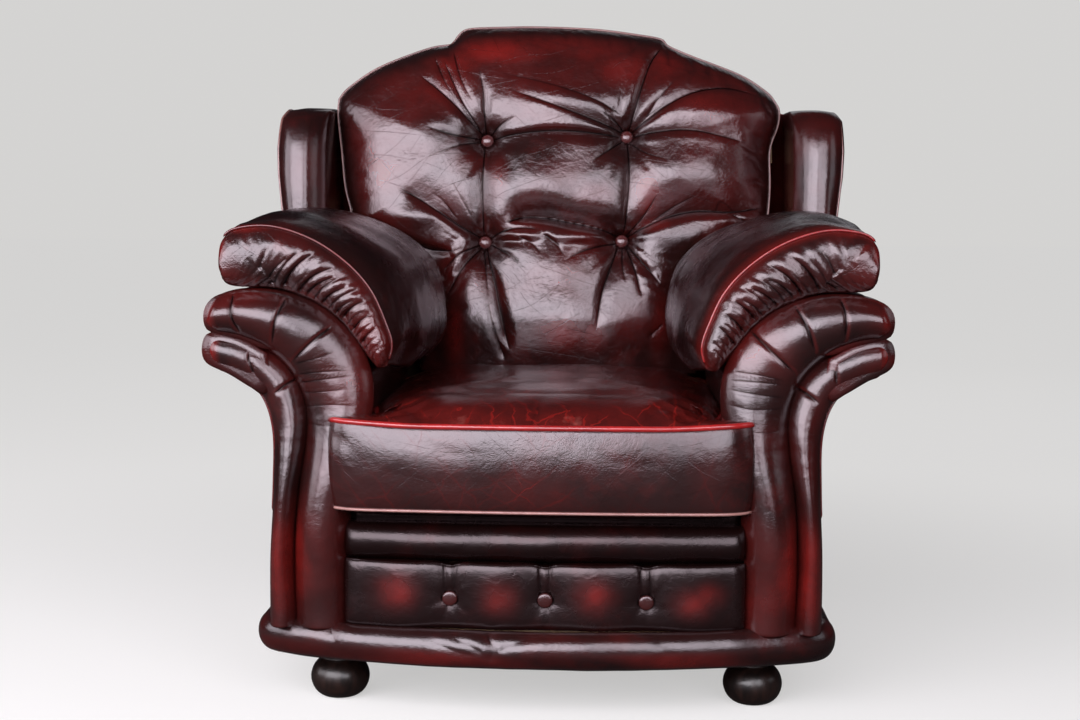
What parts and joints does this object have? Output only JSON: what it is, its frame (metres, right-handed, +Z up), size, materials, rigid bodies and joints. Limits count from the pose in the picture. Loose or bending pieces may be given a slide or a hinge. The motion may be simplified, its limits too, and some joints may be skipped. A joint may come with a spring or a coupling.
{
  "type": "worn club chair",
  "caption": "Leather club chair with scrolled arms, side wings, a crested buttoned back, a loose box seat cushion, a buttoned front panel and turned feet, with worn, rubbed leather.",
  "frame": {"origin": "on the floor, under the middle of the chair's bounding box", "axes": "+X to the viewer's right when facing the chair, +Y to the chair's back, +Z up; the chair faces -Y"},
  "size_m": [0.956, 0.95, 1.034],
  "materials": {
    "oxblood_leather": "antiqued oxblood, dark brown over red, glossy, rubbed through to red at edges, creased and finely crackled",
    "button_leather": "dark oxblood, glossy, domed",
    "beech_frame": "bare planed beech, hidden",
    "dark_stained_wood": "dark stain, lacquered, lightly scuffed",
    "spring_steel": "bare spring wire",
    "black_cloth": "thin black bottoming cloth",
    "hessian": "coarse jute over the springs"
  },
  "bodies": {
    "root": {"arm_bolster_lower_left": "oxblood_leather", "arm_bolster_lower_right": "oxblood_leather", "arm_bolster_upper_left": "oxblood_leather", "arm_bolster_upper_right": "oxblood_leather", "arm_pad_left": "oxblood_leather", "arm_pad_right": "oxblood_leather", "arm_post_left": "beech_frame", "arm_post_right": "beech_frame", "arm_rail_left": "beech_frame", "arm_rail_right": "beech_frame", "arm_scroll_inner_left": "oxblood_leather", "arm_scroll_inner_right": "oxblood_leather", "arm_scroll_outer_left": "oxblood_leather", "arm_scroll_outer_right": "oxblood_leather", "back_button_lower_left": "button_leather", "back_button_lower_right": "button_leather", "back_button_upper_left": "button_leather", "back_button_upper_right": "button_leather", "back_crest_pad": "oxblood_leather", "back_cushion": "oxblood_leather", "back_rail": "beech_frame", "back_upright_left": "beech_frame", "back_upright_right": "beech_frame", "base_roll_front": "oxblood_leather", "base_roll_left": "oxblood_leather", "base_roll_right": "oxblood_leather", "corner_block_back_left": "beech_frame", "corner_block_back_right": "beech_frame", "corner_block_front_left": "beech_frame", "corner_block_front_right": "beech_frame", "dust_cover": "black_cloth", "edge_roll": "oxblood_leather", "foot_back_left": "dark_stained_wood", "foot_back_right": "dark_stained_wood", "foot_front_left": "dark_stained_wood", "foot_front_right": "dark_stained_wood", "front_button_left": "button_leather", "front_button_middle": "button_leather", "front_button_right": "button_leather", "front_panel": "oxblood_leather", "front_rail": "beech_frame", "inside_arm_left": "oxblood_leather", "inside_arm_right": "oxblood_leather", "lumbar_rail": "beech_frame", "outside_arm_left": "oxblood_leather", "outside_arm_right": "oxblood_leather", "outside_back": "oxblood_leather", "seat_cushion": "oxblood_leather", "seat_deck": "hessian", "seat_spring_1": "spring_steel", "seat_spring_2": "spring_steel", "seat_spring_3": "spring_steel", "seat_spring_4": "spring_steel", "side_rail_left": "beech_frame", "side_rail_right": "beech_frame", "stuffing_rail_left": "beech_frame", "stuffing_rail_right": "beech_frame", "top_rail": "beech_frame", "wing_left": "oxblood_leather", "wing_right": "oxblood_leather"}
  },
  "joints": []
}
